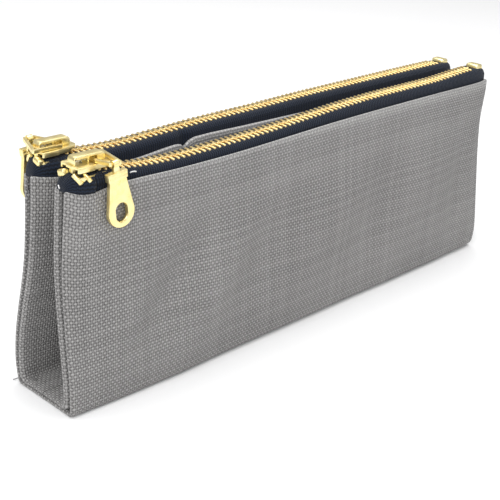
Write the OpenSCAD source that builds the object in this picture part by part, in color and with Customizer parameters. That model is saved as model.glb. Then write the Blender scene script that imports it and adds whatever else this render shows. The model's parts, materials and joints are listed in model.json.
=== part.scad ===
// Twin-pouch pencil case: two slim canvas pouches that stand on one shared base
// and lean together. Each pouch has a metal zip along its top, and each slider
// carries a link and a pull tab on the outward side.
// Origin at the middle of the base on the floor, X along the case, Z up.
// The front pouch lies on the -Y side. The rear pouch mirrors it, but for the way
// in which its pull link leans.

/* [Case] */
// Length of the case from end seam to end seam
case_l = 200; // [160:5:240]
// Depth of the shared base, front fold to rear fold
base_d = 28; // [26:1:36]
// Height of the canvas walls above the floor
wall_h = 66; // [55:1:85]
// Thickness of one canvas wall
canvas_t = 1; // [0.8:0.1:1.2]
// Thickness of each of the two layers of the base
floor_t = 1.1; // [0.8:0.1:1.2]

/* [Pouches] */
// Height of the zip above the top edge of the canvas
zip_rise = 6; // [5.5:0.5:9]
// How far the outer wall swells past the base fold
belly = 1.2; // [0:0.2:1.4]
// Depth of the pinched end of a pouch
end_d = 3.4; // [3:0.2:5]
// Distance from the middle of the case to the outside of a pinched end
end_y = 8.5; // [8:0.5:10]
// Clear gap between each inner wall and the middle of the case
tunnel_gap = 1.8; // [1:0.2:2.4]
// Radius of the fold where a pouch turns on the base
fold_r = 1.5; // [1.2:0.1:2]

/* [Zip] */
// Spacing of the teeth along one side
tooth_pitch = 2.05; // [2:0.05:2.4]
// Thickness of one tooth along the zip
tooth_t = 0.95; // [0.8:0.05:0.95]
// Height of a tooth
tooth_h = 2; // [1.8:0.1:2.6]
// Width of the closed row of teeth
chain_w = 5.7; // [5.4:0.1:6]
// Thickness of the zip tape
tape_t = 0.6; // [0.4:0.1:0.7]
// Gap between the two tapes
tape_gap = 2.2; // [2:0.1:2.6]
// Depth of the tape sewn inside the canvas
tape_lap = 1.5; // [1:0.5:3]

/* [Slider] */
// Length of the slider body
slider_l = 12.6; // [11:0.2:14]
// Width of the slider body
slider_w = 8.2; // [7.6:0.1:10]
// Thickness of the slider's plates
plate_t = 0.8; // [0.6:0.1:1]
// Length of the crown that bridges the slider
crown_l = 10.4; // [9:0.2:11]
// Width of the crown
crown_w = 3.2; // [2.8:0.1:3.4]
// Height of the crown above the slider body
crown_h = 2.4; // [2.3:0.1:3.6]
// Radius of the two round bars of the pull link
link_r = 0.45; // [0.35:0.05:0.45]

/* [Pull tab] */
// Thickness of the flat of the tab
tab_t = 1.4; // [1:0.1:1.4]
// Width of the ring at the end of the tab
tab_ring_w = 8.8; // [7:0.2:10]
// Length from the hinge of the tab to the middle of its ring
tab_l = 14.4; // [11:0.2:20]
// Width of the finger hole in the ring
tab_hole_w = 4.2; // [3:0.2:4.4]

/* [Hidden] */
$fn = 32;
half_l = case_l / 2;
half_d = base_d / 2;
// the zip runs along the middle of the pouch's mouth
zip_y = (tunnel_gap + half_d) / 2;
zip_z = wall_h + zip_rise;
// running gap between pieces that move past each other
gap = 0.3;
// middle of the fold that each pouch turns on
fold_y = half_d - fold_r;
seam_t = 1.5;
// walls stop this far short of the case's ends, inside the end seams
wall_half_l = half_l - seam_t;
// first height of the inner wall, clear above the floor
inner_z = 2 * floor_t + gap + 0.1;
wall_steps_x = 20;
wall_steps_z = 8;
canvas = "#969493";
canvas_dark = "#7f7d7c";
navy = "#182236";
brass = "#e3c983";
steel = "#b9bcc0";

// ---- shape of the pouches, as distances from the middle of the case ----
// how full the pouch is at x: 0 at a pinched end and 1 along the middle
function up(z) = min(1, z / wall_h);
function fill_power(z) = 6 + 24 * pow(up(z), 3);
function fullness(x, z) = 1 - pow(min(1, abs(x) / half_l), fill_power(z));
function end_outside(z) = end_y + (half_d - end_y) * pow(1 - up(z), 5);
function mid_outside(z) = half_d + belly * sin(180 * pow(up(z), 0.7));
function mid_inside(z) = tunnel_gap + (fold_y - fold_r - tunnel_gap) * pow(1 - up(z), 1.6);
function outside_y(x, z) = end_outside(z) + (mid_outside(z) - end_outside(z)) * fullness(x, z);
function inside_y(x, z) = end_outside(z) - end_d
  + (mid_inside(z) - end_outside(z) + end_d) * fullness(x, z);

// points close together near the ends, where the pouch narrows fastest
function spaced(k, n) = sin(180 * k / n - 90);

// a closed sheet between two surfaces y = near(x, z) and y = far(x, z)
module sheet(half, z0, z1, side, inset, thick) {
  nx = wall_steps_x;
  nz = wall_steps_z;
  row = nx + 1;
  count = row * (nz + 1);
  function at(k, j) =
    let (x = half * spaced(k, nx), z = z0 + (z1 - z0) * j / nz)
    [x, side > 0 ? outside_y(x, z) - inset : inside_y(x, z) + inset, z];
  front = [for (j = [0:nz]) for (k = [0:nx]) at(k, j)];
  back = [for (p = front) p - [0, side * thick, 0]];
  // the corners of one cell of a surface, as two triangles
  function cell(a, b, c, d) = [[a, b, c], [a, c, d]];
  skin = [for (j = [0:nz - 1]) for (k = [0:nx - 1])
    let (a = j * row + k) each cell(a, a + 1, a + row + 1, a + row)];
  lining = [for (t = skin) [t[0] + count, t[2] + count, t[1] + count]];
  bottom = [for (k = [0:nx - 1]) each cell(k, k + count, k + 1 + count, k + 1)];
  top = [for (k = [0:nx - 1]) let (a = nz * row + k) each cell(a, a + 1, a + 1 + count, a + count)];
  left = [for (j = [0:nz - 1]) let (a = j * row) each cell(a, a + row, a + row + count, a + count)];
  right = [for (j = [0:nz - 1]) let (a = j * row + nx) each cell(a, a + count, a + row + count, a + row)];
  faces = concat(skin, lining, bottom, top, left, right);
  turned = [for (t = faces) [t[0], t[2], t[1]]];
  polyhedron(concat(front, back), side > 0 ? faces : turned);
}

// ---- base ----
module base_panel() {
  color(canvas) translate([-wall_half_l, gap + fold_r - fold_y, 0])
    cube([2 * wall_half_l, 2 * (fold_y - fold_r - gap), floor_t]);
}

module base_lining() {
  color(canvas_dark) translate([-wall_half_l, gap + fold_r - fold_y, floor_t])
    cube([2 * wall_half_l, 2 * (fold_y - fold_r - gap), floor_t]);
}

module base_seam(end) {
  color(canvas) translate([end > 0 ? wall_half_l : -half_l, gap + fold_r - fold_y, 0])
    cube([seam_t, 2 * (fold_y - fold_r - gap), 2 * floor_t]);
}

// four small thread tacks where the base meets the pouches' end seams
module corner_tacks() {
  tack = 0.9;
  color(canvas_dark) for (end = [-1, 1], side = [-1, 1])
    translate([end * (half_l - seam_t / 2), side * (fold_y - fold_r - gap - 1), 2 * floor_t + tack / 4])
      cube([seam_t, 2, tack / 2], center = true);
}

// ---- pouch walls, drawn on the +Y side ----
module outer_wall() {
  color(canvas) {
    sheet(wall_half_l, fold_r, wall_h, 1, 0, canvas_t);
    translate([-half_l, fold_y, fold_r]) rotate([0, 90, 0]) cylinder(r = fold_r, h = case_l);
  }
}

module inner_wall() {
  color(canvas_dark) sheet(wall_half_l, inner_z, wall_h, -1, 0, canvas_t);
}

// the turned seam that joins both walls of a pouch at one end
module end_seam(end) {
  levels = 12;
  function level_z(j) = 2 * fold_r + (wall_h - 2 * fold_r) * j / levels;
  function ring(j) = let (z = level_z(j), y = end_outside(z), x0 = end * wall_half_l, x1 = end * half_l)
    [[x0, y, z], [x1, y - canvas_t / 2, z], [x1, y - end_d + canvas_t / 2, z], [x0, y - end_d, z]];
  points = [for (j = [0:levels]) each ring(j)];
  sides = [for (j = [0:levels - 1]) for (k = [0:3])
    let (a = 4 * j + k, b = 4 * j + (k + 1) % 4) each [[a, b, b + 4], [a, b + 4, a + 4]]];
  last = 4 * levels;
  caps = [[0, 2, 1], [0, 3, 2], [last, last + 1, last + 2], [last, last + 2, last + 3]];
  faces = concat(sides, caps);
  color(canvas) polyhedron(points, end < 0 ? [for (t = faces) [t[0], t[2], t[1]]] : faces);
}

// ---- zip, drawn about its own line: X along it, +Y towards the outside ----
strip_edge = slider_w / 2 + gap;
tape_end = half_l - 0.8;
skirt_end = half_l - 12;

// side is +1 for the outer tape and -1 for the inner tape
module tape(side) {
  half_t = tape_t / 2;
  // the sewn edge lies just clear of the inside face of the canvas, all along
  sewn_gap = 0.1;
  outer_edge = outside_y(skirt_end, wall_h) - canvas_t - zip_y;
  inner_edge = zip_y - inside_y(skirt_end, wall_h - tape_lap) - canvas_t;
  wall_edge = (side > 0 ? outer_edge : inner_edge) - sewn_gap;
  color(navy) translate([0, zip_y, 0]) to_side(side) {
    translate([-tape_end, tape_gap / 2, zip_z - half_t])
      cube([2 * tape_end, strip_edge + tape_t - tape_gap / 2, tape_t]);
    // the stretch that stands up from the canvas to the flat strip
    rotate([90, 0, 90]) linear_extrude(2 * skirt_end, center = true)
      polygon([[wall_edge - tape_t, wall_h - tape_lap], [wall_edge, wall_h - tape_lap], [wall_edge, wall_h],
        [strip_edge + tape_t, zip_z], [strip_edge, zip_z], [wall_edge - tape_t, wall_h]]);
  }
}

// the ends of both tapes, turned down and sewn into the end seams
module tape_ends() {
  color(navy) for (end = [-1, 1]) translate([end * (tape_end - tape_t / 2), 0, 0])
    rotate([90, 0, 90]) linear_extrude(tape_t, center = true)
      polygon([[end_y - end_d, wall_h], [end_y, wall_h],
        [zip_y + strip_edge, zip_z - tape_t / 2], [zip_y - strip_edge, zip_z - tape_t / 2]]);
}

module to_side(side) { mirror([0, side > 0 ? 0 : 1, 0]) children(); }

// a tooth clamps the edge of its tape and its head reaches past the middle
module tooth() {
  head = 0.75;
  grip = chain_w / 2;
  jaw = tape_t / 2 + 0.1;
  rotate([90, 0, 90]) linear_extrude(tooth_t, center = true) difference() {
    translate([-head, -tooth_h / 2]) square([grip + head, tooth_h]);
    translate([tape_gap / 2 - 0.1, -jaw]) square([grip, 2 * jaw]);
  }
}

// teeth start clear of the slider's post and end before the bottom stop
teeth_start = -half_l + 11.4;
teeth_end = half_l - 7.6;
teeth_count = floor((teeth_end - teeth_start) / tooth_pitch - 0.5);

module teeth(side) {
  shift = side > 0 ? 0 : tooth_pitch / 2;
  color(brass) for (k = [0:teeth_count - 1])
    translate([teeth_start + shift + k * tooth_pitch, zip_y, zip_z])
      rotate([0, 0, side > 0 ? 0 : 180]) tooth();
}

// one clamp on each tape at the closed end
module top_stops() {
  stop_l = 1.3;
  stop_w = 2;
  jaw = tape_t / 2 + 0.05;
  color(brass) for (side = [-1, 1])
    translate([-tape_end + tape_t + 0.1 + stop_l / 2, zip_y + side * (tape_gap / 2 + stop_w / 2), zip_z])
      for (face = [-1, 1]) translate([0, 0, face * (jaw + 0.35)])
        cube([stop_l, stop_w, 0.7], center = true);
}

// one box clamp across both tapes at the open end
module bottom_stop() {
  stop_l = 3;
  jaw = tape_t / 2 + 0.05;
  color(brass) translate([half_l - 5, zip_y, zip_z]) difference() {
    cube([stop_l, chain_w - 0.4, tooth_h + 0.6], center = true);
    for (side = [-1, 1]) translate([0, side * chain_w / 2, 0])
      cube([stop_l + 1, 2 * (chain_w / 2 - tape_gap / 2 + 0.1), 2 * jaw], center = true);
  }
}

// ---- slider, drawn about its own middle: +X towards the closed chain, +Y outwards ----
slider_x = -half_l + 9.5;
channel = tooth_h / 2 + 0.25;
body_top = channel + plate_t;
slit = tape_t / 2 + gap;
nose_w = slider_w * 0.8;
post_w = tape_gap - 2 * gap;
// the crossbar of the link lies in the crown's hole
bar_x = 0.6;
bar_z = body_top + 0.65;
crown_x0 = -slider_l / 2 + gap + 0.3;
crown_x1 = crown_x0 + crown_l;
crown_z1 = body_top + crown_h;
crown_wall = 0.5;
hole_x0 = bar_x - 1.3;
hole_x1 = bar_x + 1.3;
hole_z1 = bar_z + link_r + 0.55;

// outline of a plate: shoulders at the two throats and a narrow nose at the chain
module plate_outline() {
  round = 1.4;
  throat = 1;
  intersection() {
    square([slider_l, slider_w], center = true);
    union() {
      translate([-slider_l / 2 + 3, 0]) circle(r = slider_w / 2 + 0.6);
      polygon([[-slider_l / 2 + 2, -slider_w / 2], [slider_l / 2 - round, -nose_w / 2],
        [slider_l / 2, -nose_w / 2 + round], [slider_l / 2, nose_w / 2 - round],
        [slider_l / 2 - round, nose_w / 2], [-slider_l / 2 + 2, slider_w / 2]]);
    }
    // scoop of each throat
    difference() {
      square([slider_l, slider_w], center = true);
      for (side = [-1, 1]) translate([-slider_l / 2 - throat, side * slider_w / 3.2])
        circle(r = throat + 0.6);
    }
  }
}

module slider_body() {
  flange_t = 0.7;
  color(brass) difference() {
    union() {
      for (face = [-1, 1]) {
        translate([0, 0, face > 0 ? channel : -body_top]) linear_extrude(plate_t) plate_outline();
        translate([0, 0, face > 0 ? slit : -channel]) linear_extrude(channel - slit)
          difference() {
            plate_outline();
            square([slider_l + 2, slider_w - 2 * flange_t], center = true);
          }
      }
      // post between the two throats
      translate([-slider_l / 2 + 0.6, -post_w / 2, -channel]) cube([2.6, post_w, 2 * channel]);
    }
    // window of the lock pin
    translate([bar_x - 3, 0, 0]) cylinder(r = 0.5, h = body_top + 1, $fn = 24);
  }
}

// a hollow bridge that covers the lock spring and holds the link
module crown() {
  round = 1.1;
  color(brass) rotate([90, 0, 0]) linear_extrude(crown_w, center = true) difference() {
    union() {
      translate([crown_x0, body_top]) square([crown_l, crown_h - round]);
      translate([crown_x0 + round, crown_z1 - round]) square([crown_l - 2 * round, round]);
      for (x = [crown_x0 + round, crown_x1 - round]) translate([x, crown_z1 - round]) circle(r = round);
    }
    translate([hole_x0, body_top - 1]) square([hole_x1 - hole_x0, hole_z1 - body_top + 1]);
    translate([crown_x0 + crown_wall, body_top - 1])
      square([hole_x0 - crown_x0 - 2 * crown_wall, crown_h + 1 - 2 * crown_wall]);
  }
}

// bent leaf inside the crown, with a pin that drops between the teeth
module lock_spring() {
  leaf_w = crown_w - 1;
  leaf_x0 = crown_x0 + 0.7;
  leaf_x1 = hole_x0 - 0.7;
  leaf_t = 0.3;
  // the leaf lies just under the roof of the crown
  leaf_z = crown_z1 - 2 * crown_wall - leaf_t - 0.2;
  color(steel) {
    translate([leaf_x0, -leaf_w / 2, leaf_z]) cube([leaf_x1 - leaf_x0, leaf_w, leaf_t]);
    translate([leaf_x0, -leaf_w / 2, body_top]) cube([leaf_t, leaf_w, leaf_z - body_top]);
    translate([bar_x - 3, 0, channel]) cylinder(r = 0.4, h = leaf_z - channel, $fn = 24);
  }
}

// a flat loop through the crown, with round bars in the crown and at the nose
link_t = 1;
arm_w = 0.9;
// the pull tab hangs just clear of the widest part of the wall behind it
tab_bottom_z = zip_z + bar_z - tab_l - tab_ring_w / 2;
tab_y = mid_outside(tab_bottom_z) + gap + tab_t / 2;
link_reach = tab_y - zip_y;
arm_y = crown_w / 2 + gap + arm_w;
// the front link leans towards the closed chain (lean = 1), and the rear link
// towards the end of the case (lean = -1)
nose_bar = 3.2;
function nose_near(lean) = lean > 0 ? 1.6 : -1;
function nose_far(lean) = nose_near(lean) + lean * nose_bar;
function loop_x(lean) = lean > 0 ? crown_x1 + 2.1 : crown_x0 - 2.7;

module arm(a, b) {
  d = b - a;
  translate(a) rotate(atan2(d[1], d[0])) translate([0, -arm_w / 2]) square([norm(d), arm_w]);
  for (p = [a, b]) translate(p) circle(d = arm_w * 1.1);
}

module link(lean) {
  nose_x = (nose_near(lean) + nose_far(lean)) / 2;
  color(brass) translate([0, 0, bar_z]) {
    linear_extrude(link_t, center = true) {
      arm([bar_x, arm_y], [nose_near(lean), link_reach]);
      arm([nose_far(lean), link_reach], [loop_x(lean), -arm_y]);
      arm([loop_x(lean), -arm_y], [bar_x, -arm_y]);
    }
    translate([bar_x, 0, 0]) rotate([90, 0, 0]) cylinder(r = link_r, h = 2 * arm_y, center = true);
    translate([nose_x, link_reach, 0]) rotate([0, 90, 0]) cylinder(r = link_r, h = nose_bar, center = true);
  }
}

// ---- pull tab, hanging from the nose bar of the link ----
eye_w = nose_bar - arm_w * 1.1 - gap;
eye_r = link_r + 0.08;
eye_out = eye_r + 0.5;

module pull_tab(lean) {
  tab_x = (nose_near(lean) + nose_far(lean)) / 2;
  head_w = 6.4;
  head_h = 2.3;
  head_z = -2.4;
  head_t = 1.8;
  neck_t = 1.1;
  ring_r = tab_ring_w / 2;
  shoulder_w = 5.6;
  // straight middle of the long finger hole
  hole_straight = 1.6;
  color(brass) translate([tab_x, link_reach, bar_z]) difference() {
    union() {
      rotate([0, 90, 0]) cylinder(r = eye_out, h = eye_w, center = true);
      translate([-eye_w / 2, -neck_t / 2, head_z]) cube([eye_w, neck_t, -head_z]);
      translate([-head_w / 2, -head_t / 2, head_z - head_h]) cube([head_w, head_t, head_h]);
      translate([0, tab_t / 2, 0]) rotate([90, 0, 0]) linear_extrude(tab_t) {
        translate([0, -tab_l]) circle(r = ring_r);
        polygon([[-shoulder_w / 2, head_z - head_h], [shoulder_w / 2, head_z - head_h],
          [ring_r, -tab_l], [-ring_r, -tab_l]]);
      }
    }
    rotate([0, 90, 0]) cylinder(r = eye_r, h = eye_w + 1, center = true);
    for (dz = [-0.5, 0.5] * hole_straight) translate([0, 0, dz - tab_l]) rotate([90, 0, 0])
      cylinder(r = tab_hole_w / 2, h = tab_t + 1, center = true);
    translate([0, 0, -tab_l]) cube([tab_hole_w, tab_t + 1, hole_straight], center = true);
  }
}

// ---- placing ----
module front() { mirror([0, 1, 0]) children(); }
module on_slider() { translate([slider_x, zip_y, zip_z]) children(); }

base_panel();
base_lining();
base_seam(-1);  // base_left_seam
base_seam(1);  // base_right_seam
corner_tacks();

front() outer_wall();  // front_outer_wall
front() inner_wall();  // front_inner_wall
front() end_seam(-1);  // front_left_seam
front() end_seam(1);  // front_right_seam
front() tape(1);  // front_outer_tape
front() tape(-1);  // front_inner_tape
front() tape_ends();  // front_tape_ends
front() teeth(1);  // front_outer_teeth
front() teeth(-1);  // front_inner_teeth
front() top_stops();  // front_top_stops
front() bottom_stop();  // front_bottom_stop
front() on_slider() slider_body();  // front_slider_body
front() on_slider() crown();  // front_crown
front() on_slider() lock_spring();  // front_lock_spring
front() on_slider() link(1);  // front_link
front() on_slider() pull_tab(1);  // front_pull_tab

outer_wall();  // rear_outer_wall
inner_wall();  // rear_inner_wall
end_seam(-1);  // rear_left_seam
end_seam(1);  // rear_right_seam
tape(1);  // rear_outer_tape
tape(-1);  // rear_inner_tape
tape_ends();  // rear_tape_ends
teeth(1);  // rear_outer_teeth
teeth(-1);  // rear_inner_teeth
top_stops();  // rear_top_stops
bottom_stop();  // rear_bottom_stop
on_slider() slider_body();  // rear_slider_body
on_slider() crown();  // rear_crown
on_slider() lock_spring();  // rear_lock_spring
on_slider() link(-1);  // rear_link
on_slider() pull_tab(-1);  // rear_pull_tab
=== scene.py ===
import bisect
import json
import math

import bpy
from mathutils import Matrix, Vector, noise


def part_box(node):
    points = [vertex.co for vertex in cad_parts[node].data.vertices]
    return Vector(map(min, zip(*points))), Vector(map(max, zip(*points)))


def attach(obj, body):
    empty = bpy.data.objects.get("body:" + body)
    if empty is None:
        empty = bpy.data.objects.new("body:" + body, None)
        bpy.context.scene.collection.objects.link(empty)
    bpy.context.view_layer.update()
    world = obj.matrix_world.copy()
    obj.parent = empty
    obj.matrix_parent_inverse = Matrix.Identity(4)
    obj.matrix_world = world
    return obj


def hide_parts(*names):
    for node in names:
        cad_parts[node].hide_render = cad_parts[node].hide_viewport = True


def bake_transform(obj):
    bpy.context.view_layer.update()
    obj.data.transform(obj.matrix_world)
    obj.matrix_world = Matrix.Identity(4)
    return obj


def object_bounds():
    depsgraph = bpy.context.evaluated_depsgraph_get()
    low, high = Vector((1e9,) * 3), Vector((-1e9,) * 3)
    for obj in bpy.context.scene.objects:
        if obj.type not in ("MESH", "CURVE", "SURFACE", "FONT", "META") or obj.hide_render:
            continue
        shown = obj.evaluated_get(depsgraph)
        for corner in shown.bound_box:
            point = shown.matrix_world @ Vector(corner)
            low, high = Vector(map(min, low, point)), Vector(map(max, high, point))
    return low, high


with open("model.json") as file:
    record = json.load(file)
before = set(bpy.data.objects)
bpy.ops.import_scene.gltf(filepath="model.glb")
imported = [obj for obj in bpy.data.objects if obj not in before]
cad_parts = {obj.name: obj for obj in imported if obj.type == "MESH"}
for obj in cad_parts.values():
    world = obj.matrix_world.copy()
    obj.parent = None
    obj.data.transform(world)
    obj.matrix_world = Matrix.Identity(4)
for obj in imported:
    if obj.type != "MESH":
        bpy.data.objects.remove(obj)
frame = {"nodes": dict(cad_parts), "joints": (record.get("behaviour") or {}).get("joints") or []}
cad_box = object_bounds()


# ---- Camera ----
# A long lens that looks down on the case from its front left corner, near the
# end where both sliders are parked.
mm = 0.001
camera_at = Vector((-257.59, -226.68, 169.29)) * mm
heading, dip, lean = math.radians(46.74), math.radians(23.57), math.radians(3.43)
forward = Vector((math.cos(dip) * math.sin(heading), math.cos(dip) * math.cos(heading), -math.sin(dip)))
level = forward.cross(Vector((0, 0, 1))).normalized()
upright = level.cross(forward)
across = math.cos(lean) * level + math.sin(lean) * upright
over = -math.sin(lean) * level + math.cos(lean) * upright

camera_data = bpy.data.cameras.new("camera")
camera_data.sensor_width = 36
camera_data.lens = 77.04
camera_data.clip_start, camera_data.clip_end = 0.01, 20
camera = bpy.data.objects.new("camera", camera_data)
bpy.context.scene.collection.objects.link(camera)
turned_and_placed = [[across[k], over[k], -forward[k], camera_at[k]] for k in range(3)]
camera.matrix_world = Matrix(turned_and_placed + [[0, 0, 0, 1]])
bpy.context.scene.camera = camera
bpy.context.scene.view_settings.view_transform = "Standard"


# ---- Outer canvas ----
# One strip of heavy grey plain-weave cotton makes the outside walls and the
# underside of both pouches. It is folded up at the bottom, its top edge is
# turned in over the zip, and its ends are turned in and sewn.
FRONT, REAR = -1, 1
LEFT, RIGHT = -1, 1
SIDES = {FRONT: "front", REAR: "rear"}
canvas_t = 0.7
# the top edge is turned over round this radius
edge_r = 0.5
half_length = round(cad_box[1].x / mm, 3)
wall_h = round(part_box("front_outer_wall")[1].z / mm, 3)
half_depth = 14
belly = 1.2
foot_flare = {FRONT: 1.3, REAR: 0.0}
dent_strength = 2.3

# distance of the outer face of each end seam from the middle of the case, by height
seam_points = {
    (FRONT, LEFT): [(0, 14.2), (7, 14.1), (16, 13.1), (27, 12.0), (36, 10.6), (45, 9.5), (57, 9.2),
                    (69, 9.5)],
    (FRONT, RIGHT): [(0, 13.8), (8, 14.7), (26, 12.9), (43, 11.2), (57, 10.1), (69, 10.7)],
    (REAR, LEFT): [(0, 12.4), (3, 13.4), (8, 14.4), (16, 14.1), (26, 11.9), (35, 10.1), (44, 9.0), (55, 8.8),
                   (69, 9.2)],
    (REAR, RIGHT): [(0, 14.0), (8, 14.2), (26, 12.0), (43, 10.2), (57, 9.4), (69, 9.8)],
}
# how far the ends stand out past the case's length, by height
end_points = {
    LEFT: [(0, 1.3), (14, 0.9), (27, 1.0), (45, 0.1), (60, -0.7), (70, -1.0)],
    RIGHT: [(0, 0.3), (25, -0.2), (45, -0.8), (60, -0.4), (66, -0.4), (70, -0.9)],
}
# soft hollows and swells in the outer walls: x, z, half length, half height, slant, depth
dents = {
    FRONT: [(-80, 22, 8, 20, 0.1, 0.7), (-60, 38, 8, 26, 0.75, -1.2), (-42, 30, 9, 26, 0.7, 0.9),
            (-24, 40, 14, 20, 0.5, -0.9), (4, 36, 16, 24, 0.6, 0.8), (32, 30, 12, 22, 0.4, -0.8),
            (58, 42, 14, 16, 0.3, 0.5), (84, 34, 6, 28, 0.05, -1.0), (-70, 8, 26, 6, 0.0, 0.5)],
    REAR: [(-70, 26, 12, 20, 0.2, 0.5), (-30, 30, 18, 14, -0.3, -0.9), (35, 24, 20, 18, 0.2, 0.5),
           (80, 40, 8, 24, 0.0, -0.7)],
}


def bent_line(points):
    """A smooth curve through (position, value) points, flat past its ends."""
    xs, ys = [p[0] for p in points], [p[1] for p in points]
    last = len(xs) - 1
    slopes = []
    for k in range(last + 1):
        before, after = max(k - 1, 0), min(k + 1, last)
        slopes.append((ys[after] - ys[before]) / (xs[after] - xs[before]))

    def at(x):
        x = min(max(x, xs[0]), xs[-1])
        k = min(max(bisect.bisect_right(xs, x) - 1, 0), last - 1)
        h = xs[k + 1] - xs[k]
        t = (x - xs[k]) / h
        return ((2 * t**3 - 3 * t**2 + 1) * ys[k] + (t**3 - 2 * t**2 + t) * h * slopes[k]
                + (3 * t**2 - 2 * t**3) * ys[k + 1] + (t**3 - t**2) * h * slopes[k + 1])
    return at


seam_line = {corner: bent_line(points) for corner, points in seam_points.items()}
end_reach = {end: bent_line(points) for end, points in end_points.items()}
# height of the turned top edge of the outer walls, along the case
outer_edge = bent_line([(-100, 67.3), (-97, 66.3), (-93, 66.3), (-88, 67.0), (-80, 67.5), (-61, 67.1),
                        (-35, 67.3), (8, 68.7), (52, 69.3), (93, 69.4), (98, 69.3), (100, 68.8)])


def nearer_end(x):
    return RIGHT if x > 0 else LEFT


def rise(z):
    """Share of the wall's height, from 0 at the base to 1 at the top."""
    return min(1.0, max(0.0, z / wall_h))


def eased(t):
    """0 to 1 with a soft start and stop."""
    t = min(1.0, max(0.0, t))
    return t * t * (3 - 2 * t)


def fullness(x, z):
    """0 at a pinched end of a pouch and 1 along its middle."""
    return 1 - min(1.0, abs(x) / half_length) ** (6 + 24 * rise(z) ** 3)


def swell(x, z, side):
    """The soft hollows and swells of a wall, and a faint unevenness."""
    total = 0.22 * noise.noise(Vector((x / 26, z / 19, 3.0 * side)))
    total += 0.1 * noise.noise(Vector((x / 9, z / 8, 7.0 * side)))
    for x0, z0, half_x, half_z, slant, depth in dents[side]:
        a, b = (x - x0 - slant * (z - z0)) / half_x, (z - z0) / half_z
        total += dent_strength * depth * math.exp(-a * a - b * b)
    return total * math.sin(math.pi * min(1.0, rise(z) ** 0.8 + 0.04))


def outside(x, z, side):
    """Distance from the middle of the case to the outer face of a pouch."""
    end_y = seam_line[side, nearer_end(x)](z)
    middle_y = half_depth + belly * math.sin(math.pi * rise(z) ** 0.7)
    middle_y += foot_flare[side] * (1 - rise(z)) ** 4
    return end_y + (middle_y - end_y + swell(x, z, side)) * fullness(x, z)


def stand_out(x, z):
    """x with the end of the case moved out or in, as the seams there lean."""
    leaning_l = 22
    near_end = eased((abs(x) - half_length + leaning_l) / leaning_l)
    return x + nearer_end(x) * end_reach[nearer_end(x)](z) * near_end


def outer_section(x, q, side):
    """(y, z) on the middle of the cloth: base for q to 1, fold to 2, wall to 3."""
    # the fold is sharper at the closed end
    fold = 2.2 + 1.5 * min(1.0, max(0.0, (x + 85) / 60))
    fold_middle = outside(x, fold, side) - fold
    if q < 1:
        return q * fold_middle, canvas_t / 2
    if q < 2:
        a, r = (q - 1) * math.pi / 2, fold - canvas_t / 2
        return fold_middle + r * math.sin(a), fold - r * math.cos(a)
    z = fold + (q - 2) * (outer_edge(x) - edge_r - fold)
    return outside(x, z, side) - canvas_t / 2, z


def along_cloth():
    """Columns of the grid: (x, turn, hem), where turn and hem lay the ends in."""
    cells, end_x = 104, half_length - 0.55
    shares = [2 * k / cells - 1 for k in range(cells + 1)]
    flat = [(end_x * math.copysign(abs(s) ** 0.85, s), 0.0, 0.0) for s in shares]
    turned = [(math.pi * k / 6, 0.0) for k in range(1, 7)] + [(math.pi, hem) for hem in (1.5, 3.5)]
    left = [(-end_x, turn, hem) for turn, hem in reversed(turned)]
    return left + flat + [(end_x, turn, hem) for turn, hem in turned]


def up_cloth(wall_rows):
    """Rows of the grid: (q, turn, hem), from the middle of the base to the turned edge."""
    floor = [(k / 7, 0.0, 0.0) for k in range(7)]
    fold = [(1 + k / 5, 0.0, 0.0) for k in range(5)]
    wall = [(2 + k / wall_rows, 0.0, 0.0) for k in range(wall_rows + 1)]
    edge = [(3.0, math.pi * k / 6, 0.0) for k in range(1, 7)]
    return floor + fold + wall + edge + [(3.0, math.pi, hem) for hem in (1.5, 4.0)]


def choose_only(piece):
    bpy.ops.object.select_all(action="DESELECT")
    piece.select_set(True)
    bpy.context.view_layer.objects.active = piece


def add_modifier(piece, kind, **values):
    """Adds a modifier and applies it."""
    choose_only(piece)
    made = piece.modifiers.new(kind.lower(), kind)
    for key, value in values.items():
        setattr(made, key, value)
    bpy.ops.object.modifier_apply(modifier=made.name)


def lay_cloth(name, columns, rows, place, thickness):
    """A grid laid out by place(column, row), with lengths in its UV map, and given its thickness."""
    last_i, last_j = len(columns) - 1, len(rows) - 1
    bpy.ops.object.select_all(action="DESELECT")
    bpy.ops.mesh.primitive_grid_add(x_subdivisions=last_i, y_subdivisions=last_j, size=2)
    piece = bpy.context.object
    piece.name = piece.data.name = name
    crossing, at = {}, {}
    for v in piece.data.vertices:
        i, j = round((v.co.x + 1) / 2 * last_i), round((v.co.y + 1) / 2 * last_j)
        v.co = Vector(place(columns[i], rows[j])) * mm
        crossing[v.index] = (i, j)
        at[i, j] = v.co.copy()
    # lengths along the middle row and the middle column
    middle_i, middle_j = len(columns) // 2, len(rows) // 2
    along, up = [0.0], [0.0]
    for i in range(1, len(columns)):
        along.append(along[-1] + (at[i, middle_j] - at[i - 1, middle_j]).length)
    for j in range(1, len(rows)):
        up.append(up[-1] + (at[middle_i, j] - at[middle_i, j - 1]).length)
    lengths = piece.data.uv_layers.active
    for loop in piece.data.loops:
        i, j = crossing[loop.vertex_index]
        lengths.data[loop.index].uv = (along[i], up[j])
    add_modifier(piece, "SOLIDIFY", thickness=thickness * mm, offset=0, use_even_offset=False)
    bpy.ops.object.mode_set(mode="EDIT")
    bpy.ops.mesh.select_all(action="SELECT")
    bpy.ops.mesh.normals_make_consistent(inside=False)
    bpy.ops.object.mode_set(mode="OBJECT")
    bpy.ops.object.shade_smooth()
    return piece


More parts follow.
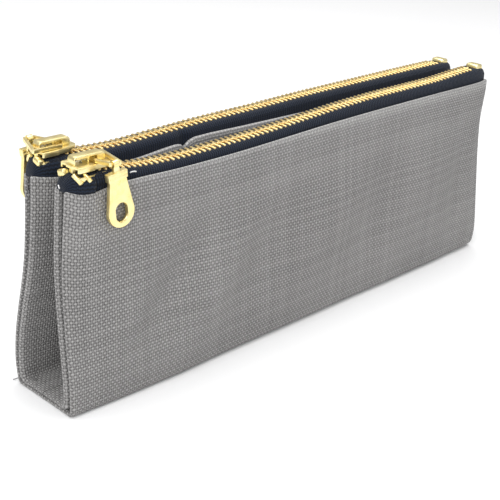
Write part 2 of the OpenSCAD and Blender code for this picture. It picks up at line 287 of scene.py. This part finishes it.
def hemmed(section, side, inward, bead):
    """Makes place() for a wall with turned edges, and ends rolled into a bead on the inward side."""
    foot_bead = 0.28

    def place(column, row):
        x, end_turn, end_hem = column
        q, top_turn, top_hem = row
        y, z = section(x, q, side)
        # the way up the cloth, and square to it
        step = 0.02
        y1, z1 = section(x, max(q - step, 0.0), side) if q > step else (-section(x, step, side)[0], z)
        length = math.hypot(y - y1, z - z1)
        ty, tz = (y - y1) / length, (z - z1) / length
        ny, nz = -tz * inward, ty * inward
        end_r = foot_bead + (bead - foot_bead) * min(1.0, max(0.0, q - 0.8))
        out = math.copysign(1, x) * (end_r * math.sin(end_turn) - end_hem)
        up = edge_r * math.sin(top_turn) - top_hem
        into = max(end_r * (1 - math.cos(end_turn)), edge_r * (1 - math.cos(top_turn)))
        z += up * tz + into * nz
        return stand_out(x + out, z), side * (y + up * ty + into * ny), z
    return place


def shader(name):
    """Starts a material. put() and work() add nodes, and dress() joins them to its surface."""
    material = bpy.data.materials.new(name)
    material.use_nodes = True
    tree = material.node_tree
    surface = tree.nodes["Principled BSDF"]

    def put(kind, *inputs, **settings):
        made = tree.nodes.new("ShaderNode" + kind)
        for key, value in settings.items():
            setattr(made, key, value)
        for k, value in enumerate(inputs):
            if isinstance(value, bpy.types.NodeSocket):
                tree.links.new(value, made.inputs[k])
            elif value is not None:
                made.inputs[k].default_value = value
        return made

    def work(operation, *inputs):
        return put("Math", *inputs, operation=operation).outputs[0]

    def dress(colour, rough, relief=None, strength=0.0, distance=0.0, **plain):
        tree.links.new(colour, surface.inputs["Base Color"])
        if isinstance(rough, bpy.types.NodeSocket):
            tree.links.new(rough, surface.inputs["Roughness"])
        else:
            surface.inputs["Roughness"].default_value = rough
        if relief is not None:
            bump = put("Bump")
            bump.inputs["Strength"].default_value = strength
            bump.inputs["Distance"].default_value = distance
            tree.links.new(relief, bump.inputs["Height"])
            tree.links.new(bump.outputs[0], surface.inputs["Normal"])
        for socket, value in plain.items():
            surface.inputs[socket.replace("_", " ")].default_value = value
        return material
    return put, work, dress


def tones(put, value, stops):
    """A colour ramp over (position, colour) stops."""
    ramp = put("ValToRGB", value)
    while len(ramp.color_ramp.elements) < len(stops):
        ramp.color_ramp.elements.new(0.5)
    for element, (position, colour) in zip(ramp.color_ramp.elements, stops):
        element.position = position
        element.color = (*colour, 1)
    return ramp.outputs[0]


def canvas_cloth(name, dark, mid, light):
    """Plain weave: warp yarns stand side by side along U, and picks lie across them along V."""
    put, work, dress = shader(name)
    warp_pitch, pick_pitch = 0.00077, 0.00092
    flat = put("TexCoord").outputs["UV"]
    solid = put("TexCoord").outputs["Object"]
    lengths = put("SeparateXYZ", flat)
    wander = put("TexNoise", flat, None, 160.0, 2.0).outputs[0]
    slip = work("MULTIPLY", work("SUBTRACT", wander, 0.5), 0.0005)
    u = work("MULTIPLY", work("ADD", lengths.outputs[0], slip), math.pi / warp_pitch)
    v = work("MULTIPLY", work("ADD", lengths.outputs[1], slip), math.pi / pick_pitch)
    warp_wave, pick_wave = work("SINE", u), work("SINE", v)
    # a yarn is round across and rises over every second yarn that it meets
    crossing = work("MULTIPLY", warp_wave, pick_wave)
    warp_over = put("MapRange", crossing, -0.2, 0.2).outputs[0]
    warp_round = work("POWER", work("ABSOLUTE", warp_wave), 0.75)
    pick_round = work("POWER", work("ABSOLUTE", pick_wave), 0.75)
    height = work("MAXIMUM", work("MULTIPLY_ADD", crossing, 0.4, work("MULTIPLY", warp_round, 0.9)),
                  work("MULTIPLY_ADD", crossing, -0.5, pick_round))
    # each yarn is a little lighter or darker than the next
    warp_number = work("FLOOR", work("DIVIDE", u, math.pi))
    pick_number = work("FLOOR", work("DIVIDE", v, math.pi))
    warp_tone = put("TexWhiteNoise", None, warp_number, noise_dimensions="1D").outputs[0]
    pick_tone = put("TexWhiteNoise", None, pick_number, noise_dimensions="1D").outputs[0]
    fuzz = put("TexNoise", flat, None, 2600.0, 3.0).outputs[0]
    cloud = put("TexNoise", solid, None, 34.0, 3.0).outputs[0]
    # the colour follows the yarn height: painted shade in the gaps and corners between the yarns
    value = work("MULTIPLY", height, 0.44)
    # warp-over and pick-over cells get lighter and darker tones: painted light and shade, as the two yarn
    # directions catch the light differently
    value = work("MULTIPLY_ADD", work("SUBTRACT", 0.5, warp_over), 0.17, value)
    for uneven, weight in ((warp_tone, 0.06), (pick_tone, 0.08), (fuzz, 0.3), (cloud, 0.16)):
        value = work("MULTIPLY_ADD", work("SUBTRACT", uneven, 0.5), weight, value)
    # the turned top edge is painted a little lighter: a painted highlight where the fold catches the light
    up = put("SeparateXYZ", solid).outputs[2]
    value = work("ADD", value, put("MapRange", up, 0.0660, 0.0678, 0.0, 0.16).outputs[0])
    return dress(
        tones(put, value, [(0.05, dark), (0.42, mid), (0.8, light)]),
        put("MapRange", fuzz, 0.3, 0.7, 0.82, 0.96).outputs[0],
        work("MULTIPLY_ADD", fuzz, 0.35, height), 0.9, 0.00034,
        Sheen_Weight=0.15, Sheen_Roughness=0.5, Specular_IOR_Level=0.25)


grey_canvas = canvas_cloth("grey_canvas", (0.055, 0.054, 0.053), (0.262, 0.256, 0.252), (0.46, 0.452, 0.446))
# the two halves of the strip share the base and its seams
outer_nodes = {
    FRONT: ("front_outer_wall", "front_left_seam", "front_right_seam", "base_panel", "base_left_seam"),
    REAR: ("rear_outer_wall", "rear_left_seam", "rear_right_seam", "base_right_seam"),
}
for side, word in SIDES.items():
    place = hemmed(outer_section, side, inward=1, bead=0.45)
    piece = lay_cloth(f"{word}_outer_canvas", along_cloth(), up_cloth(38), place, canvas_t)
    piece.data.materials.append(grey_canvas)
    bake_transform(piece)
    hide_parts(*outer_nodes[side])


# ---- Inner canvas ----
# A second strip of the same cloth lies on the base and makes the two walls that
# face each other across the open tunnel. Its edges are turned in like the outer
# strip's and sewn against them.
floor_top = round(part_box("front_inner_wall")[0].z / mm, 3)
pouch_w = 4.3
gap_at_top, spread_at_foot = 1.1, 8.6
# height of the turned top edge, with a puckered notch in the rear one
inner_edge = {
    FRONT: bent_line([(-100, 67.4), (-90, 66.6), (-60, 66.3), (0, 67.2), (60, 68.0), (100, 68.4)]),
    REAR: bent_line([(-100, 67.4), (-85, 66.2), (-66, 66.6), (-50, 67.8), (-47.4, 67.2), (-46, 66.2),
                     (-44.6, 67.6), (-42, 68.8), (-20, 68.6), (20, 68.2), (60, 68.4), (100, 68.4)]),
}


def inside(x, z, side):
    """Distance from the middle of the case to the face of a pouch that looks into the tunnel."""
    end_y = seam_line[side, nearer_end(x)](z) - pouch_w
    middle_y = gap_at_top + spread_at_foot * (1 - rise(z)) ** 1.8
    # the two walls lean closer together a hand's width in from the closed end
    middle_y *= 1 - 0.38 * math.exp(-((x + 64) / 20) ** 2) * math.sin(math.pi * rise(z) ** 0.6)
    ripple = 0.45 * noise.noise(Vector((x / 30, z / 24, 11.0 * side))) * math.sin(math.pi * rise(z))
    if side == REAR:
        # a short crease runs down from the notch
        ripple += 1.1 * rise(z) ** 6 * math.exp(-((x + 46) / 2.2) ** 2)
    return end_y + (middle_y - end_y + ripple) * fullness(x, z)


def inner_section(x, q, side):
    """(y, z) on the middle of the cloth: floor for q to 1, fold to 2, wall to 3."""
    fold = 1.6
    wall_foot = floor_top + fold
    fold_middle = inside(x, wall_foot, side) - fold
    if q < 1:
        return q * fold_middle, floor_top - canvas_t / 2
    if q < 2:
        a, r = (q - 1) * math.pi / 2, fold + canvas_t / 2
        return fold_middle + r * math.sin(a), wall_foot - r * math.cos(a)
    z = wall_foot + (q - 2) * (inner_edge[side](x) - edge_r - wall_foot)
    return inside(x, z, side) + canvas_t / 2, z


inner_nodes = {FRONT: ("front_inner_wall", "base_lining"), REAR: ("rear_inner_wall",)}
for side, word in SIDES.items():
    place = hemmed(inner_section, side, inward=-1, bead=0.85)
    piece = lay_cloth(f"{word}_inner_canvas", along_cloth(), up_cloth(34), place, canvas_t)
    piece.data.materials.append(grey_canvas)
    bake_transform(piece)
    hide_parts(*inner_nodes[side])


# ---- Corner tacks ----
# Short bars of close grey stitches at the four corners of the base, where all
# the layers of canvas meet.
def thread_finish(name, dark, light):
    """Twisted sewing thread with fine slanting plies."""
    put, work, dress = shader(name)
    solid = put("TexCoord").outputs["Object"]
    plies = put("TexWave", solid, 2400.0, 1.5, 2.0, bands_direction="DIAGONAL").outputs["Fac"]
    lint = put("TexNoise", solid, None, 1800.0, 2.0).outputs[0]
    # the colour follows the plies: painted shade in the grooves between them
    value = work("MULTIPLY_ADD", work("SUBTRACT", lint, 0.5), 0.5, plies)
    return dress(tones(put, value, [(0.1, dark), (0.8, light)]),
                 put("MapRange", lint, 0.3, 0.7, 0.6, 0.85).outputs[0], value, 0.5, 0.00005)


def stitch(start, end, radius=0.16):
    """One visible stitch: a short thread that dips into the cloth at both ends."""
    start, end = Vector(start), Vector(end)
    way = end - start
    bpy.ops.object.select_all(action="DESELECT")
    bpy.ops.mesh.primitive_uv_sphere_add(segments=8, ring_count=6, radius=1)
    piece = bpy.context.object
    piece.scale = Vector((radius, radius, way.length / 2)) * mm
    piece.rotation_euler = way.to_track_quat("Z", "Y").to_euler()
    piece.location = (start + end) / 2 * mm
    bpy.ops.object.transform_apply(location=True, rotation=True, scale=True)
    bpy.ops.object.shade_smooth()
    return piece


def join_up(pieces, name):
    choose_only(pieces[0])
    for p in pieces:
        p.select_set(True)
    if len(pieces) > 1:
        bpy.ops.object.join()
    pieces[0].name = pieces[0].data.name = name
    return pieces[0]


grey_thread = thread_finish("grey_thread", (0.12, 0.118, 0.116), (0.32, 0.315, 0.31))
stitches_in_bar, stitch_pitch = 5, 0.55
stitch_out, stitch_in = half_length - 0.1, half_length - 1.6
bars = []
for end in (LEFT, RIGHT):
    for side in SIDES:
        outermost = seam_line[side, end](0) - 3.6
        for k in range(stitches_in_bar):
            y = side * (outermost - stitch_pitch * k)
            outer_end = (end * stitch_out, y, floor_top + 0.12)
            inner_end = (end * stitch_in, y, floor_top + 0.16)
            bars.append(stitch(outer_end, inner_end))
tacks = join_up(bars, "corner_tack_stitches")
tacks.data.materials.append(grey_thread)
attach(tacks, "base")
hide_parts("corner_tacks")


# ---- Zip tapes ----
# Navy woven tape, sewn inside the turned top edges of the canvas. It stands up
# from the seam and lies flat towards the row of teeth. Each is cut in two at
# the middle of the case.
tape_t = 0.55
slider_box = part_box("rear_slider_body")
zip_y = round((slider_box[0].y + slider_box[1].y) / 2 / mm, 3)
# height up the wall where the tape goes down inside the canvas, and its widest reach there
seam_z, widest_reach = 67, 4.9
OUTWARD = {"outer": 1, "inner": -1}
# where each half ends, where it begins to lift with its lip, and where it follows the lip fully
HALVES = {"left": (-96.6, -0.098, -0.010), "right": (98.7, 0.090, 0.010)}
# the closed zips sag in their left half and lift towards the right end
zip_line = {
    FRONT: bent_line([(-100, 71.9), (-91, 71.8), (-84, 71.0), (-76, 69.9), (-66, 69.2), (-57, 69.0),
                      (-39, 69.4), (-22, 70.0), (-3, 71.1), (15, 72.1), (31, 72.6), (48, 72.8),
                      (67, 73.0), (86, 74.0), (100, 74.3)]),
    REAR: bent_line([(-100, 71.9), (-91, 71.8), (-84, 71.1), (-70, 70.4), (-55, 70.8), (-35, 71.5),
                     (-12, 71.8), (12, 72.4), (39, 72.7), (68, 73.0), (86, 73.1), (100, 73.0)]),
}


def end_dip(x):
    """How far the tapes dive at both ends of the case."""
    return 2.6 * max(0.0, (abs(x) - 94) / 4.5) ** 2


def puffed(x):
    """1 near the closed end, where the tape swells out over the canvas, and 0 along the rest."""
    return eased((-x - 80) / 12)


def skirt_reach(x, side, part):
    """Distance from the zip's own line to where its tape goes down inside the canvas."""
    layers = 1.75 + tape_t / 2
    if part == "outer":
        room = outside(x, seam_z, side) - layers - zip_y
    else:
        room = zip_y - inside(x, seam_z, side) - layers
    return max(0.5, min(widest_reach, room))


def tape_section(x, c, side, part):
    """(distance from the zip's line, height): c runs from the teeth at 0 to the sewn edge at 8."""
    reach, puff = skirt_reach(x, side, part), puffed(x)
    narrow = reach / widest_reach
    top = zip_line[side](x) - end_dip(x)
    points = [
        (1.05 * narrow, top),
        (2.0 * narrow, top),
        (3.0 * narrow, top - 0.08),
        (3.9 * narrow, top - 0.3),
        (4.5 * narrow + 0.3 * puff, top - 0.85),
        (4.82 * narrow + 0.9 * puff, top - 1.6 - 0.6 * puff),
        (reach + 0.5 * puff, min(67.6, top - 2.3) - 0.8 * puff),
        (reach, 65.0),
        (reach, 63.0),
    ]
    out = bent_line([(k, point[0]) for k, point in enumerate(points)])
    down = bent_line([(k, point[1]) for k, point in enumerate(points)])
    return out(c), down(c)


def tape_place(side, part):
    """Makes place() for one tape of a zip."""
    def place(x, c):
        off_line, z = tape_section(x, c, side, part)
        return x, side * (zip_y + OUTWARD[part] * off_line), z
    return place


def navy_tape_cloth():
    """Close ribbed weave: fine chevrons across the tape and a soft nap."""
    put, work, dress = shader("navy_tape")
    rib_pitch, chevron_w, knit_pitch = 0.00042, 0.0012, 0.00085
    flat = put("TexCoord").outputs["UV"]
    lengths = put("SeparateXYZ", flat)
    rib = work("SINE", work("MULTIPLY", lengths.outputs[1], math.pi / rib_pitch))
    share = work("FRACT", work("MULTIPLY", lengths.outputs[1], 1 / chevron_w))
    slant = work("ABSOLUTE", work("SUBTRACT", share, 0.5))
    knit = work("SINE", work("MULTIPLY_ADD", slant, 3.2,
                             work("MULTIPLY", lengths.outputs[0], 2 * math.pi / knit_pitch)))
    nap = put("TexNoise", flat, None, 2600.0, 3.0).outputs[0]
    height = work("MULTIPLY_ADD", knit, 0.3, work("MULTIPLY_ADD", work("ABSOLUTE", rib), 0.4, 0.25))
    # the colour follows the relief: painted shade in the grooves of the ribs and chevrons
    value = work("MULTIPLY_ADD", work("SUBTRACT", nap, 0.5), 0.7, height)
    return dress(
        tones(put, value, [(0.05, (0.0012, 0.0021, 0.005)), (0.5, (0.004, 0.0075, 0.017)),
                           (0.95, (0.014, 0.024, 0.046))]),
        put("MapRange", nap, 0.3, 0.7, 0.75, 0.95).outputs[0], value, 0.8, 0.00018,
        Specular_IOR_Level=0.25, Sheen_Weight=0.08)


navy_tape = navy_tape_cloth()
for side, word in SIDES.items():
    for part in OUTWARD:
        for half, (end_x, start, end) in HALVES.items():
            columns = sorted(end_x * (k / 66) ** 0.9 for k in range(67))
            rows = [k / 4 for k in range(33)]
            piece = lay_cloth(f"{word}_{part}_tape_{half}", columns, rows, tape_place(side, part), tape_t)
            bpy.ops.object.shade_smooth_by_angle(angle=math.radians(45))
            piece.data.materials.append(navy_tape)
            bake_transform(piece)
            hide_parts(f"{word}_{part}_tape")


# ---- Zip tape ends ----
# Past the last teeth both tapes are turned under, and the doubled ends are
# rolled down into the seam. They close the corner with a full navy bulge.
roll_end = half_length - 0.1
# where the roll starts, how far it keeps inside the canvas, how full it is, and its
# flat area in square metres
ROLLS = {"left": (LEFT, 92.5, 0.75, 4.5, 0.00018), "right": (RIGHT, 95.5, 1.8, 3.0, 0.00012)}
# share of the half width, and of the way down, from the middle to the sewn edge
spread = bent_line([(0, 0.0), (0.4, 0.5), (0.62, 0.84), (0.76, 1.03), (0.88, 0.97), (1, 0.72)])
fall = bent_line([(0, 0.0), (0.4, 0.03), (0.62, 0.16), (0.76, 0.42), (0.88, 0.72), (1, 1.0)])


def roll_place(side, end, start, inset, fill):
    """Makes place() for one rolled end: s runs across it from -1 to 1, and c out to its tip."""
    def place(s, c):
        x = end * (start + (roll_end - start) * math.sin(c * math.pi / 2))
        gone = (abs(x) - start) / (roll_end - start)
        root = 64.6 + 2.4 * gone**3
        top = (zip_line[side](x) + 0.1 - root) * max(0.0, 1 - gone**fill) ** 0.5
        nearest, furthest = inside(x, seam_z, side) + inset, outside(x, seam_z, side) - inset
        half_w = (furthest - nearest) / 2
        y = (furthest + nearest) / 2 + math.copysign(half_w * spread(abs(s)), s)
        z = root + top * (1 - fall(abs(s)))
        return stand_out(x, z), side * y, z
    return place


for side, word in SIDES.items():
    for hand, (end, start, inset, fill, area) in ROLLS.items():
        columns = [k / 16 - 1 for k in range(33)]
        rows = [k / 16 for k in range(17)]
        place = roll_place(side, end, start, inset, fill)
        piece = lay_cloth(f"{word}_tape_end_{hand}", columns, rows, place, tape_t)
        piece.data.materials.append(navy_tape)
        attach(piece, f"{word}_pouch")
        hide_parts(f"{word}_tape_ends")


# ---- Zip teeth ----
# Pressed brass teeth, each clamped on the cord at the edge of its tape, with a
# head that reaches past the middle to mesh with the other row.
tooth_size = (0.86, 3.6, 2.0)
tooth_out = 1.02
tooth_pitch = 2.05
teeth_start, teeth_end = -88.6, 92.4
teeth_count = int((teeth_end - teeth_start) / tooth_pitch - 0.5)


def brass_finish(name, dark, mid, light):
    """Polished and lacquered brass with a mottled tone, faint scratches, painted highlights on sharp edges
    and painted shade in the recesses.
    """
    put, work, dress = shader(name)
    solid = put("TexCoord").outputs["Object"]
    mottle = put("TexNoise", solid, None, 420.0, 4.0).outputs[0]
    grain = put("TexNoise", solid, None, 2600.0, 3.0).outputs[0]
    edge = put("NewGeometry").outputs["Pointiness"]
    value = work("MULTIPLY_ADD", work("SUBTRACT", mottle, 0.5), 0.5, 0.55)
    value = work("MULTIPLY_ADD", work("SUBTRACT", grain, 0.5), 0.3, value)
    # painted highlight on sharp edges and painted shade in hollows and gaps, from the pointiness
    value = work("MULTIPLY_ADD", work("SUBTRACT", edge, 0.5), 1.6, value)
    return dress(tones(put, value, [(0.2, dark), (0.5, mid), (0.75, light)]),
                 put("MapRange", value, 0.3, 0.7, 0.24, 0.4).outputs[0], value, 0.25, 0.00006, Metallic=1)


def pressed_tooth():
    """One tooth that reaches towards -Y, as a mesh to copy."""
    bpy.ops.object.select_all(action="DESELECT")
    bpy.ops.mesh.primitive_cube_add(size=1, location=(0, 0, 0))
    tooth = bpy.context.object
    tooth.scale = Vector(tooth_size) * mm
    bpy.ops.object.transform_apply(scale=True)
    tooth.location = (0, tooth_out * mm, 0)
    bpy.ops.object.transform_apply(location=True)
    bpy.ops.object.mode_set(mode="EDIT")
    bpy.ops.mesh.select_all(action="SELECT")
    bpy.ops.mesh.bisect(plane_co=(0, 0.5 * mm, 0), plane_no=(0, 1, 0))
    bpy.ops.object.mode_set(mode="OBJECT")
    # the head is narrower than the legs, which lie low along the tape
    for v in tooth.data.vertices:
        if v.co.y < 0:
            v.co.x *= 0.86
        elif v.co.y > 0.4 * mm:
            v.co.z *= 0.66
    add_modifier(tooth, "BEVEL", width=0.26 * mm, segments=2)
    bpy.ops.object.shade_smooth_by_angle(angle=math.radians(50))
    mesh = tooth.data
    bpy.data.objects.remove(tooth)
    return mesh


tooth_brass = brass_finish("tooth_brass", (0.52, 0.3, 0.08), (0.82, 0.56, 0.21), (0.99, 0.82, 0.43))
tooth_mesh = pressed_tooth()
for side, word in SIDES.items():
    for part, outward in OUTWARD.items():
        # the two rows stand half a pitch apart
        first_x = teeth_start + (0 if part == "outer" else tooth_pitch / 2)
        facing = Matrix.Rotation(0 if side * outward > 0 else math.pi, 4, "Z")
        rows = {"left": [], "right": []}
        for k in range(teeth_count):
            x = first_x + k * tooth_pitch
            slope = math.atan2(zip_line[side](x + 1) - zip_line[side](x - 1), 2)
            jitter = Matrix.Rotation(0.05 * noise.noise(Vector((x, side, outward))), 4, "Z")
            spot = Matrix.Translation(Vector((x, side * zip_y, zip_line[side](x))) * mm)
            copy = bpy.data.objects.new("tooth", tooth_mesh.copy())
            bpy.context.scene.collection.objects.link(copy)
            copy.data.transform(spot @ Matrix.Rotation(-slope, 4, "Y") @ facing @ jitter)
            rows["left" if x < 0 else "right"].append(copy)
        for half, copies in rows.items():
            piece = join_up(copies, f"{word}_{part}_teeth_{half}")
            piece.data.materials.append(tooth_brass)
            _, start, end = HALVES[half]
            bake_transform(piece)
            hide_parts(f"{word}_{part}_teeth")


# ---- Zip stops ----
# At the closed end a small brass clamp is pressed over each tape edge, bent
# down with the tape. At the open end one box clamp holds both tapes.
box_clamp_x = 93.7


def rounded_block(size, at, tilt=0.0, bevel=0.3, turn=0.0):
    """A small pressed block with rounded edges, turned about X and then Z, and moved to its place."""
    bpy.ops.object.select_all(action="DESELECT")
    bpy.ops.mesh.primitive_cube_add(size=1)
    block = bpy.context.object
    block.scale = Vector(size) * mm
    bpy.ops.object.transform_apply(scale=True)
    add_modifier(block, "BEVEL", width=bevel * mm, segments=3)
    block.rotation_euler = (tilt, 0, turn)
    block.location = Vector(at) * mm
    bpy.ops.object.transform_apply(location=True, rotation=True)
    bpy.ops.object.shade_smooth_by_angle(angle=math.radians(40))
    return block


pull_brass = brass_finish("pull_brass", (0.68, 0.45, 0.13), (0.95, 0.77, 0.34), (1.0, 0.89, 0.5))
for side, word in SIDES.items():
    # two splayed clamps lie on the outside of the bulge, and one on its inside
    tilt, splay = math.radians(40) * -side, math.radians(24) * -side
    clamps = [rounded_block((1.5, 3.6, 1.3), (-96.2, side * (zip_y + 3.0), 70.9), tilt, 0.4, splay),
              rounded_block((0.9, 3.0, 1.2), (-93.7, side * (zip_y + 3.9), 71.0), tilt, 0.3, splay),
              rounded_block((2.2, 3.0, 2.0), (-97.0, side * (zip_y - 2.3), 71.5), -tilt * 0.5, 0.6)]
    stops = join_up(clamps, f"{word}_top_clamps")
    stops.data.materials.append(pull_brass)
    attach(stops, f"{word}_pouch")
    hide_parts(f"{word}_top_stops")

    box_clamp_at = (box_clamp_x, side * zip_y, zip_line[side](box_clamp_x) - 0.1)
    stop = join_up([rounded_block((4.0, 5.4, 3.2), box_clamp_at, bevel=0.9)], f"{word}_bottom_clamp")
    stop.data.materials.append(pull_brass)
    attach(stop, f"{word}_pouch")
    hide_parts(f"{word}_bottom_stop")


# ---- Sliders ----
# Cast and plated sliders: two plates joined by a post, a hollow crown on top,
# and a steel leaf inside the crown whose pin drops between the teeth.
def steel_finish():
    """Rolled spring steel with streaks along the leaf."""
    put, work, dress = shader("spring_steel")
    solid = put("TexCoord").outputs["Object"]
    drawn_out = put("Mapping", solid, None, None, (1, 12, 1)).outputs[0]
    rolled = put("TexNoise", drawn_out, None, 900.0, 3.0).outputs[0]
    return dress(tones(put, rolled, [(0.3, (0.42, 0.43, 0.45)), (0.7, (0.66, 0.67, 0.69))]),
                 put("MapRange", rolled, 0.3, 0.7, 0.25, 0.42).outputs[0], Metallic=1)


def softened_copy(node, name, bevel, segments=2):
    """The node's own shape with its triangles merged and its edges rounded."""
    piece = bpy.data.objects.new(name, frame["nodes"][node].data.copy())
    piece.data.name = name
    piece.data.materials.clear()
    bpy.context.scene.collection.objects.link(piece)
    choose_only(piece)
    bpy.ops.object.mode_set(mode="EDIT")
    bpy.ops.mesh.select_all(action="SELECT")
    bpy.ops.mesh.remove_doubles(threshold=2e-6)
    bpy.ops.mesh.dissolve_limited(angle_limit=math.radians(1.5))
    bpy.ops.object.mode_set(mode="OBJECT")
    add_modifier(piece, "BEVEL", width=bevel * mm, segments=segments, limit_method="ANGLE",
                 angle_limit=math.radians(35), use_clamp_overlap=True)
    bpy.ops.object.shade_smooth_by_angle(angle=math.radians(35))
    return piece


spring_steel = steel_finish()
for side, word in SIDES.items():
    for node, name, bevel, finish, slot in (
            ("slider_body", "slider_plates", 0.22, pull_brass, "pull_brass"),
            ("crown", "slider_crown", 0.3, pull_brass, "pull_brass"),
            ("lock_spring", "slider_spring", 0.05, spring_steel, "spring_steel")):
        piece = softened_copy(f"{word}_{node}", f"{word}_{name}", bevel)
        piece.data.materials.append(finish)
        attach(piece, f"{word}_slider")
        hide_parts(f"{word}_{node}")


# ---- Links and pull tabs ----
# A brass wire link passes through the crown and carries the tab: a neck curled
# round the link, a folded collar, and a tapered plate with a rimmed eye.
hinge_z = {j["child"]: round(j["pos_m"][2] / mm, 3) for j in frame["joints"] if "pos_m" in j}
# the loose eye lets the tab hang a little askew
askew = {FRONT: math.radians(-8), REAR: math.radians(-5)}
for side, word in SIDES.items():
    link = softened_copy(f"{word}_link", f"{word}_link_wire", 0.26, 3)
    link.data.materials.append(pull_brass)
    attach(link, f"{word}_link")
    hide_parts(f"{word}_link")

    plate = softened_copy(f"{word}_pull_tab", f"{word}_tab_plate", 0.24, 3)
    low, high = (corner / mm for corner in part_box(f"{word}_pull_tab"))
    tab_x, tab_y, neck_z = (low.x + high.x) / 2, (low.y + high.y) / 2, hinge_z[f"{word}_tab"]
    eye_z = low.z + (high.x - low.x) / 2
    bpy.ops.object.select_all(action="DESELECT")
    bpy.ops.mesh.primitive_torus_add(major_radius=1, minor_radius=0.22, major_segments=40, minor_segments=12)
    rim = bpy.context.object
    rim.scale = Vector((2.82, 3.5, 3.3)) * mm
    rim.rotation_euler = (math.pi / 2, 0, 0)
    rim.location = Vector((tab_x, tab_y, eye_z)) * mm
    bpy.ops.object.transform_apply(location=True, rotation=True, scale=True)
    bpy.ops.object.shade_smooth()
    collar = rounded_block((6.3, 2.05, 1.15), (tab_x, tab_y, neck_z - 4.15), bevel=0.25)
    cuff = rounded_block((6.1, 1.95, 0.95), (tab_x, tab_y, neck_z - 2.95))
    tab = join_up([plate, rim, collar, cuff], f"{word}_tab_plate")
    hinge = Vector((tab_x, tab_y, neck_z)) * mm
    swung = Matrix.Rotation(askew[side], 4, "Y")
    tab.data.transform(Matrix.Translation(hinge) @ swung @ Matrix.Translation(-hinge))
    tab.data.materials.clear()
    tab.data.materials.append(pull_brass)
    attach(tab, f"{word}_tab")
    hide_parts(f"{word}_pull_tab")


# ---- Loose threads ----
# A white end of thread caught on the front tape, a fleck at the closed end, and
# a grey thread end at the rear corner of the base.
def soft_thread(name, points, radius, material, body):
    """A short bent thread end: a thin round curve turned into a mesh."""
    curve = bpy.data.curves.new(name, "CURVE")
    curve.dimensions = "3D"
    curve.bevel_depth = radius * mm
    curve.bevel_resolution = 2
    curve.use_fill_caps = True
    spline = curve.splines.new("NURBS")
    spline.points.add(len(points) - 1)
    for spot, p in zip(spline.points, points):
        spot.co = (*(Vector(p) * mm), 1)
    spline.use_endpoint_u = True
    thread = bpy.data.objects.new(name, curve)
    bpy.context.scene.collection.objects.link(thread)
    choose_only(thread)
    bpy.ops.object.convert(target="MESH")
    thread = bpy.context.object
    thread.data.materials.clear()
    thread.data.materials.append(material)
    bpy.ops.object.shade_smooth()
    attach(thread, body)


white_thread = thread_finish("white_thread", (0.55, 0.55, 0.55), (0.9, 0.9, 0.9))
tape_out, tape_z = tape_section(-78, 4.2, FRONT, "outer")
tape_y = -zip_y - tape_out
soft_thread("caught_thread",
            [(-79.3, tape_y - 0.3, tape_z + 0.3), (-78.3, tape_y - 0.3, tape_z + 0.55),
             (-77.2, tape_y - 0.4, tape_z + 0.2)],
            0.2, white_thread, "front_pouch")
soft_thread("thread_fleck",
            [(-100.15, -8.2, 68.3), (-100.3, -8.0, 68.8), (-100.1, -7.7, 69.2)],
            0.18, white_thread, "front_pouch")
soft_thread("corner_thread",
            [(-99.6, 13.4, 1.2), (-100.4, 13.8, 1.1), (-101.2, 14.2, 0.5), (-101.8, 14.9, 0.35)],
            0.14, grey_canvas, "base")


# ---- Floor and light ----
# A plain pale ground and broad soft light from above, from the left and, weaker,
# from the front.
bpy.ops.object.select_all(action="DESELECT")
bpy.ops.mesh.primitive_plane_add(size=8)
floor = bpy.context.object
floor.name = "floor"
put, work, dress = shader("pale_paper")
tint = put("TexNoise", put("TexCoord").outputs["Object"], None, 3.0, 2.0).outputs[0]
pale = tones(put, tint, [(0.3, (0.9, 0.9, 0.905)), (0.7, (0.93, 0.93, 0.932))])
floor.data.materials.append(dress(pale, 0.7, Specular_IOR_Level=0.2))


def soft_light(name, at, aim, size, power):
    data = bpy.data.lights.new(name, "AREA")
    data.shape = "RECTANGLE"
    data.size, data.size_y = size
    data.energy = power
    lamp = bpy.data.objects.new(name, data)
    bpy.context.scene.collection.objects.link(lamp)
    lamp.location = at
    lamp.rotation_euler = (Vector(aim) - Vector(at)).to_track_quat("-Z", "Y").to_euler()


soft_light("top_softbox", (0.0, 0.1, 0.95), (0, 0, 0), (1.0, 0.8), 8.5)
soft_light("left_softbox", (-0.95, -0.45, 0.75), (0, 0, 0.03), (0.45, 0.45), 6.5)
soft_light("front_softbox", (0.35, -0.95, 0.6), (0, 0, 0.03), (0.8, 0.5), 2.2)
world = bpy.data.worlds.new("studio")
bpy.context.scene.world = world
world.use_nodes = True
sky = world.node_tree.nodes["Background"]
sky.inputs["Color"].default_value = (1, 1, 1, 1)
sky.inputs["Strength"].default_value = 0.46
